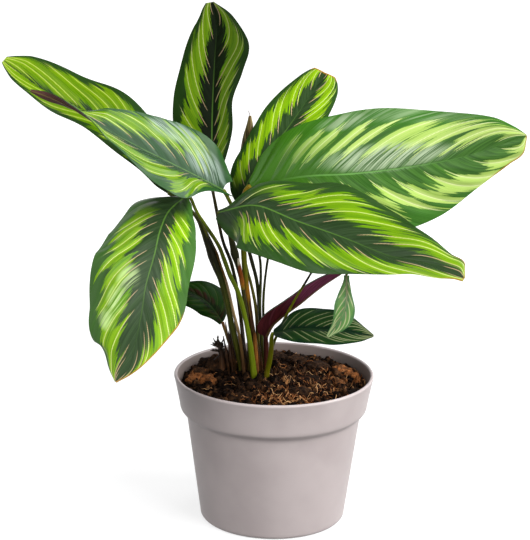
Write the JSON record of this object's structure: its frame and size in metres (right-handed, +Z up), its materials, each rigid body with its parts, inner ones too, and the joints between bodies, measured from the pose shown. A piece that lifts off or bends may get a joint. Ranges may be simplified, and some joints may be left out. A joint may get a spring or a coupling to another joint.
{
  "type": "potted calathea plant",
  "caption": "Potted calathea with striped green leaves on thin stalks, in a tapered taupe plastic nursery pot",
  "frame": {"origin": "centre of the flat underside of the pot", "axes": "+Z up along the pot's axis, -Y towards the side with the spread-out front leaves, +X to the right as seen from there"},
  "size_m": [0.3595, 0.1763, 0.3561],
  "materials": {
    "pot_plastic": "matte",
    "soil_mix": "matte",
    "leaf_green": "satin",
    "leaf_dark": "satin",
    "leaf_maroon": "satin",
    "stalk_green": "satin",
    "dry_sheath": "matte"
  },
  "bodies": {
    "root": {"pot": "pot_plastic", "soil": "soil_mix", "blade_a": "leaf_green", "blade_b": "leaf_green", "blade_c": "leaf_maroon", "blade_d": "leaf_green", "blade_e": "leaf_green", "blade_f": "leaf_green", "blade_g": "leaf_green", "blade_h": "leaf_green", "blade_i": "leaf_dark", "blade_j": "leaf_dark", "blade_k": "leaf_green", "blade_l": "leaf_maroon", "stalk_a": "stalk_green", "stalk_b": "stalk_green", "stalk_c": "stalk_green", "stalk_d": "stalk_green", "stalk_e": "stalk_green", "stalk_f": "stalk_green", "stalk_g": "stalk_green", "stalk_h": "stalk_green", "stalk_i": "stalk_green", "stalk_j": "stalk_green", "stalk_k": "stalk_green", "stalk_l": "stalk_green", "stalk_m": "stalk_green", "sheath_tan": "dry_sheath", "sheath_brown": "dry_sheath", "sheath_torn": "dry_sheath", "dead_stub": "dry_sheath"}
  },
  "joints": []
}
